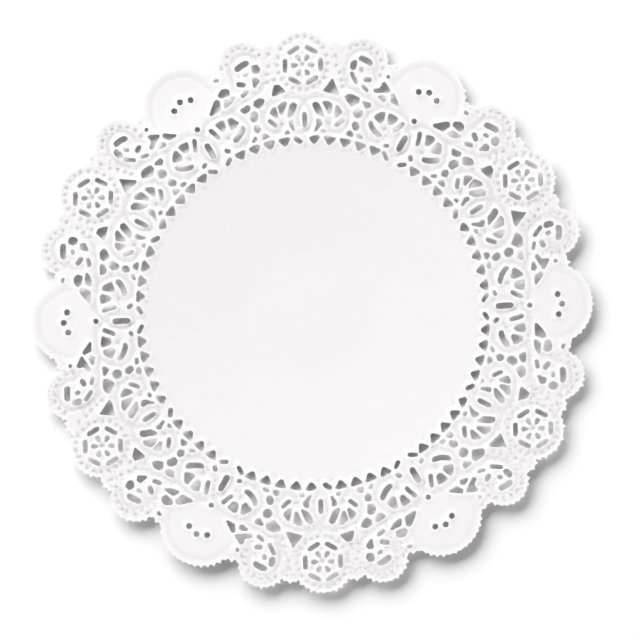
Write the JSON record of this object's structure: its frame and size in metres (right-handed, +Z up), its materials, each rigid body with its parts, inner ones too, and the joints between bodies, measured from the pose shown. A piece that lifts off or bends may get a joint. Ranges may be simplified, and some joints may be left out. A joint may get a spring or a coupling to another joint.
{
  "type": "round paper lace doily",
  "caption": "Round white paper doily with a plain middle and a scalloped, pierced and embossed lace border, laid flat under a cake or plate.",
  "frame": {"origin": "centre of the flat middle, on the underside, where the doily lies on the table", "axes": "+Z up out of the plain middle, +Y through the middle of one rosette, +X through the middle of a shell, a quarter turn from it"},
  "size_m": [0.254, 0.254, 0.0045],
  "materials": {
    "paper": "plain white uncoated paper, pressed and pierced, matt"
  },
  "bodies": {
    "root": {"doily": "paper"}
  },
  "joints": []
}
